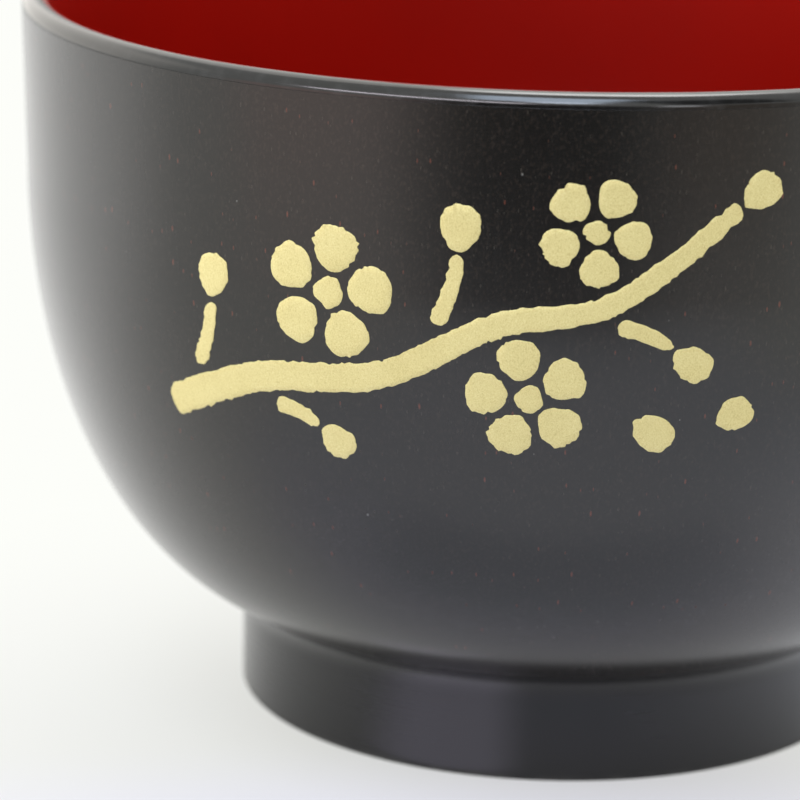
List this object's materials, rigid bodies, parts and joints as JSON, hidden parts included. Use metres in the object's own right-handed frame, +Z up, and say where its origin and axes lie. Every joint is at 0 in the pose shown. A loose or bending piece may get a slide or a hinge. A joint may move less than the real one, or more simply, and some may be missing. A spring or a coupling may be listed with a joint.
{
  "type": "soup bowl",
  "caption": "Footed lacquered soup bowl with a rounded belly: satin black outside, red inside, a gloss black lip and a gilt blossom spray; it stands on its foot ring.",
  "frame": {"origin": "centre of the foot ring's standing face, on the bowl's axis", "axes": "+Z up the bowl's axis, -Y towards the side with the gilt spray, +X to the right of someone looking at the spray"},
  "size_m": [0.108, 0.108, 0.0717],
  "materials": {
    "core": "matte",
    "foot_black": "satin",
    "satin_black": "satin",
    "gloss_black": "gloss",
    "red": "satin",
    "gilt": "matte"
  },
  "bodies": {
    "root": {"bowl_core": "core", "foot_ring": "foot_black", "outer_lacquer": "satin_black", "base_lacquer": "satin_black", "rim_lacquer": "gloss_black", "inner_lacquer": "red", "gilt_branch": "gilt", "gilt_bud_tip": "gilt", "gilt_twig_1": "gilt", "gilt_twig_2": "gilt", "gilt_twig_3": "gilt", "gilt_twig_4": "gilt", "gilt_bud_1": "gilt", "gilt_bud_2": "gilt", "gilt_bud_3": "gilt", "gilt_bud_4": "gilt", "gilt_blossom_1_petal_1": "gilt", "gilt_blossom_1_petal_2": "gilt", "gilt_blossom_1_petal_3": "gilt", "gilt_blossom_1_petal_4": "gilt", "gilt_blossom_1_petal_5": "gilt", "gilt_blossom_1_heart": "gilt", "gilt_blossom_2_petal_1": "gilt", "gilt_blossom_2_petal_2": "gilt", "gilt_blossom_2_petal_3": "gilt", "gilt_blossom_2_petal_4": "gilt", "gilt_blossom_2_petal_5": "gilt", "gilt_blossom_2_heart": "gilt", "gilt_blossom_3_petal_1": "gilt", "gilt_blossom_3_petal_2": "gilt", "gilt_blossom_3_petal_3": "gilt", "gilt_blossom_3_petal_4": "gilt", "gilt_blossom_3_petal_5": "gilt", "gilt_blossom_3_heart": "gilt", "gilt_fallen_petal_1": "gilt", "gilt_fallen_petal_2": "gilt"}
  },
  "joints": []
}
